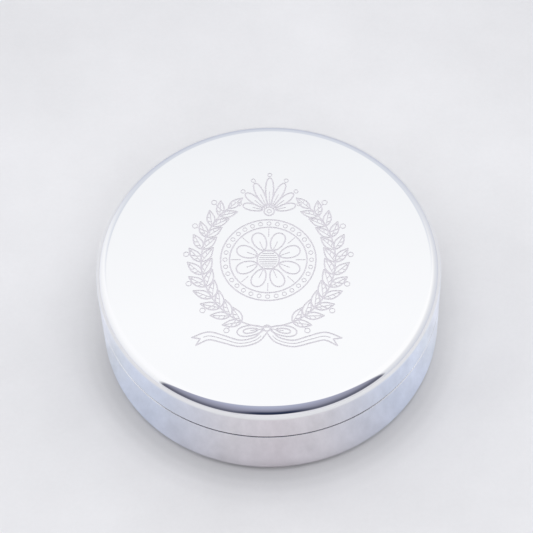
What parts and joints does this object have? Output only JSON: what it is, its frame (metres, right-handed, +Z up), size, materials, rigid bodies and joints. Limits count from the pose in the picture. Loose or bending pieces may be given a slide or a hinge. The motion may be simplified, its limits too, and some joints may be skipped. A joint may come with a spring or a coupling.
{
  "type": "pill box",
  "caption": "Round hinged pill box with a flat engraved metal lid, a lid mirror and a tray with compartments",
  "frame": {"origin": "the centre of the flat underside of the base, where the box rests", "axes": "+Z up, the front of the box faces -Y and the hinge is at the back on the +Y side, with its pin along X"},
  "size_m": [0.05, 0.0526, 0.017],
  "materials": {
    "case_metal": "mirror polished plated sheet metal, with a frosted engraved ornament on the lid",
    "collar_metal": "polished plated metal with fine turning marks",
    "hinge_metal": "polished plated metal, slightly duller than the case",
    "pin_metal": "plain drawn steel wire",
    "mirror_glass": "silvered flat glass with a ground edge",
    "tray_plastic": "satin moulded ivory plastic",
    "adhesive_pad": "thin double sided adhesive sheet"
  },
  "bodies": {
    "base": {"base_shell": "case_metal", "base_collar": "collar_metal", "catch_stud": "pin_metal", "base_hinge_leaf": "hinge_metal", "hinge_pin": "pin_metal", "tray_pad": "adhesive_pad", "pill_tray": "tray_plastic"},
    "lid": {"lid_shell": "case_metal", "lid_hinge_leaf": "hinge_metal", "mirror_pad": "adhesive_pad", "mirror_glass": "mirror_glass", "mirror_bezel": "collar_metal"}
  },
  "joints": [
    {"name": "lid_hinge", "type": "hinge", "parent": "base", "child": "lid", "pos_m": [0, 0.0261, 0.0105], "axis": [-1, 0, 0], "range_deg": [0, 100]}
  ]
}
